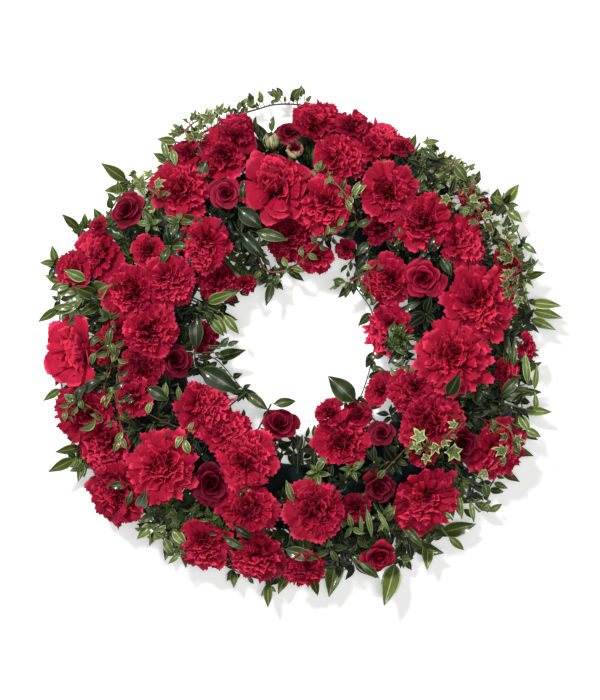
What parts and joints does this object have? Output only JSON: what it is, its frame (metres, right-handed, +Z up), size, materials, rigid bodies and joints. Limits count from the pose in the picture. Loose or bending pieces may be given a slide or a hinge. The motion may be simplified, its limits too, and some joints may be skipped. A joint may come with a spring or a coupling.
{
  "type": "floral wreath",
  "caption": "Round funeral wreath of red carnations, dark roses and leafy sprays set in a ring of floral foam, lying on its flat back.",
  "frame": {"origin": "on the surface the wreath lies on, under the middle of its bounding box", "axes": "+Z up through the flowers, +Y towards the top of the wreath, +X to its right"},
  "size_m": [0.6154, 0.61, 0.1298],
  "materials": {
    "foam": "dark green floral foam, dull and crumbly",
    "carnation_petals": "soft ruffled petals, crimson with brighter pink edges",
    "rose_petals": "velvety dark red petals with paler rims",
    "leaves": "waxy dark green leaves with a soft shine",
    "ivy": "light green ivy leaves with cream edges on thin brown stems"
  },
  "bodies": {
    "root": {"budding_rose": "rose_petals", "carnation_01": "carnation_petals", "carnation_02": "carnation_petals", "carnation_03": "carnation_petals", "carnation_04": "carnation_petals", "carnation_05": "carnation_petals", "carnation_06": "carnation_petals", "carnation_07": "carnation_petals", "carnation_08": "carnation_petals", "carnation_09": "carnation_petals", "carnation_10": "carnation_petals", "carnation_11": "carnation_petals", "carnation_12": "carnation_petals", "carnation_13": "carnation_petals", "carnation_14": "carnation_petals", "carnation_15": "carnation_petals", "carnation_16": "carnation_petals", "carnation_17": "carnation_petals", "carnation_18": "carnation_petals", "carnation_19": "carnation_petals", "carnation_20": "carnation_petals", "carnation_21": "carnation_petals", "carnation_22": "carnation_petals", "carnation_23": "carnation_petals", "carnation_24": "carnation_petals", "carnation_25": "carnation_petals", "carnation_26": "carnation_petals", "carnation_27": "carnation_petals", "carnation_28": "carnation_petals", "carnation_29": "carnation_petals", "carnation_30": "carnation_petals", "carnation_31": "carnation_petals", "carnation_32": "carnation_petals", "carnation_33": "carnation_petals", "carnation_34": "carnation_petals", "carnation_35": "carnation_petals", "carnation_36": "carnation_petals", "carnation_37": "carnation_petals", "carnation_38": "carnation_petals", "carnation_39": "carnation_petals", "carnation_40": "carnation_petals", "foam_ring": "foam", "leaf_spray_bottom": "leaves", "leaf_spray_inner_left": "leaves", "leaf_spray_inner_right": "leaves", "leaf_spray_left": "leaves", "leaf_spray_lower_left": "leaves", "leaf_spray_lower_right": "leaves", "leaf_spray_right": "leaves", "leaf_spray_upper_left": "leaves", "rose_01": "rose_petals", "rose_02": "rose_petals", "rose_03": "rose_petals", "rose_04": "rose_petals", "rose_05": "rose_petals", "rose_06": "rose_petals", "rose_07": "rose_petals", "rose_08": "rose_petals", "rose_09": "rose_petals", "twining_vine": "ivy"}
  },
  "joints": []
}
